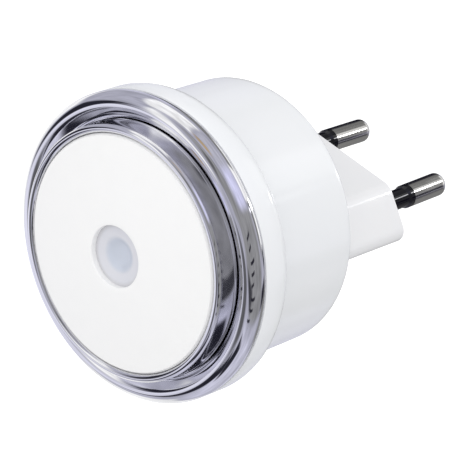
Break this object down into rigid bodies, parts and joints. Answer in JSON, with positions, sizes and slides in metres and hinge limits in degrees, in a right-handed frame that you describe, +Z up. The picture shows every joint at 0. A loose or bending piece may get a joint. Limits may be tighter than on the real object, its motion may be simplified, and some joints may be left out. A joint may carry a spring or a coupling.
{
  "type": "plug-in night light",
  "caption": "Round plug-in night light with an opal disc in chrome rings, a recessed sensor window and a flat two-pin wall plug behind.",
  "frame": {"origin": "middle of the plug body's flat end face, which meets the wall socket, between the two pins", "axes": "+Y out of the plug's end towards the wall socket, along the light's axis; +X across the two pins; +Z up; the opal disc faces -Y"},
  "size_m": [0.051, 0.0708, 0.051],
  "materials": {
    "housing_white": "glossy moulded",
    "plug_white": "glossy moulded",
    "opal_white": "satin translucent opal",
    "window_frost": "smooth translucent",
    "chrome": "mirror-bright plated plastic",
    "nickel_plate": "bright plated brass",
    "sleeve_black": "smooth moulded",
    "brass_tag": "plain stamped",
    "zinc_steel": "bright zinc",
    "lead_brown": "smooth insulation",
    "lead_blue": "smooth insulation",
    "board_green": "varnished board",
    "capacitor_ochre": "cast resin box",
    "capacitor_navy": "shrunk sleeve",
    "moulded_black": "moulded epoxy",
    "resistor_blue": "dipped",
    "resistor_tan": "dipped",
    "diode_orange": "glass bead",
    "solder_grey": "bright solder",
    "diode_lens_yellow": "cast resin",
    "sensor_clear": "clear cast resin",
    "shroud_grey": "matt moulded",
    "reflector_white": "satin moulded"
  },
  "bodies": {
    "root": {"rear_housing": "housing_white", "plug_body": "plug_white", "plug_pin_left": "nickel_plate", "plug_pin_right": "nickel_plate", "pin_sleeve_left": "sleeve_black", "pin_sleeve_right": "sleeve_black", "pin_tag_left": "brass_tag", "pin_tag_right": "brass_tag", "plug_screws": "zinc_steel", "live_lead": "lead_brown", "neutral_lead": "lead_blue", "circuit_board": "board_green", "board_screws": "zinc_steel", "film_capacitor": "capacitor_ochre", "smoothing_capacitor": "capacitor_navy", "bridge_rectifier": "moulded_black", "fusible_resistor": "resistor_blue", "bleed_resistor": "resistor_tan", "zener_diode": "diode_orange", "switching_transistor": "moulded_black", "chip_resistors": "moulded_black", "solder_joints": "solder_grey", "leds": "diode_lens_yellow", "light_sensor": "sensor_clear", "sensor_shroud": "shroud_grey", "reflector": "reflector_white", "sensor_window": "window_frost", "opal_disc": "opal_white", "bezel_ring": "chrome", "trim_ring": "chrome"}
  },
  "joints": []
}
